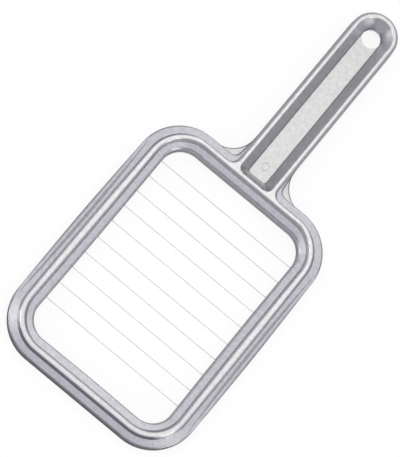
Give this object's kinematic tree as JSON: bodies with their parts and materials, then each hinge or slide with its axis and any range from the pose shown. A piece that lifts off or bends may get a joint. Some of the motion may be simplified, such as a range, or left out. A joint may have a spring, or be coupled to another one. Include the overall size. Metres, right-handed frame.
{
  "type": "egg slicer",
  "caption": "Hand-held wire slicer for eggs and soft food: a die-cast aluminium frame with integral handle and hanging hole, strung with taut parallel wires.",
  "frame": {"origin": "under the middle of the part's outline, on the flat underside", "axes": "+Y along the handle towards the hanging hole, +Z out of the ridged face, X across the frame along the wires"},
  "size_m": [0.0882, 0.2, 0.0085],
  "materials": {
    "cast_aluminium": "tumbled die casting, satin",
    "wire_steel": "bright drawn stainless wire",
    "stop_steel": "turned and crimped, satin"
  },
  "bodies": {
    "root": {"cast_frame": "cast_aluminium", "cutting_wire_01": "wire_steel", "cutting_wire_02": "wire_steel", "cutting_wire_03": "wire_steel", "cutting_wire_04": "wire_steel", "cutting_wire_05": "wire_steel", "cutting_wire_06": "wire_steel", "cutting_wire_07": "wire_steel", "cutting_wire_08": "wire_steel", "cutting_wire_09": "wire_steel", "cutting_wire_10": "wire_steel", "left_end_stop_01": "stop_steel", "left_end_stop_02": "stop_steel", "left_end_stop_03": "stop_steel", "left_end_stop_04": "stop_steel", "left_end_stop_05": "stop_steel", "left_end_stop_06": "stop_steel", "left_end_stop_07": "stop_steel", "left_end_stop_08": "stop_steel", "left_end_stop_09": "stop_steel", "left_end_stop_10": "stop_steel", "right_end_stop_01": "stop_steel", "right_end_stop_02": "stop_steel", "right_end_stop_03": "stop_steel", "right_end_stop_04": "stop_steel", "right_end_stop_05": "stop_steel", "right_end_stop_06": "stop_steel", "right_end_stop_07": "stop_steel", "right_end_stop_08": "stop_steel", "right_end_stop_09": "stop_steel", "right_end_stop_10": "stop_steel"}
  },
  "joints": []
}
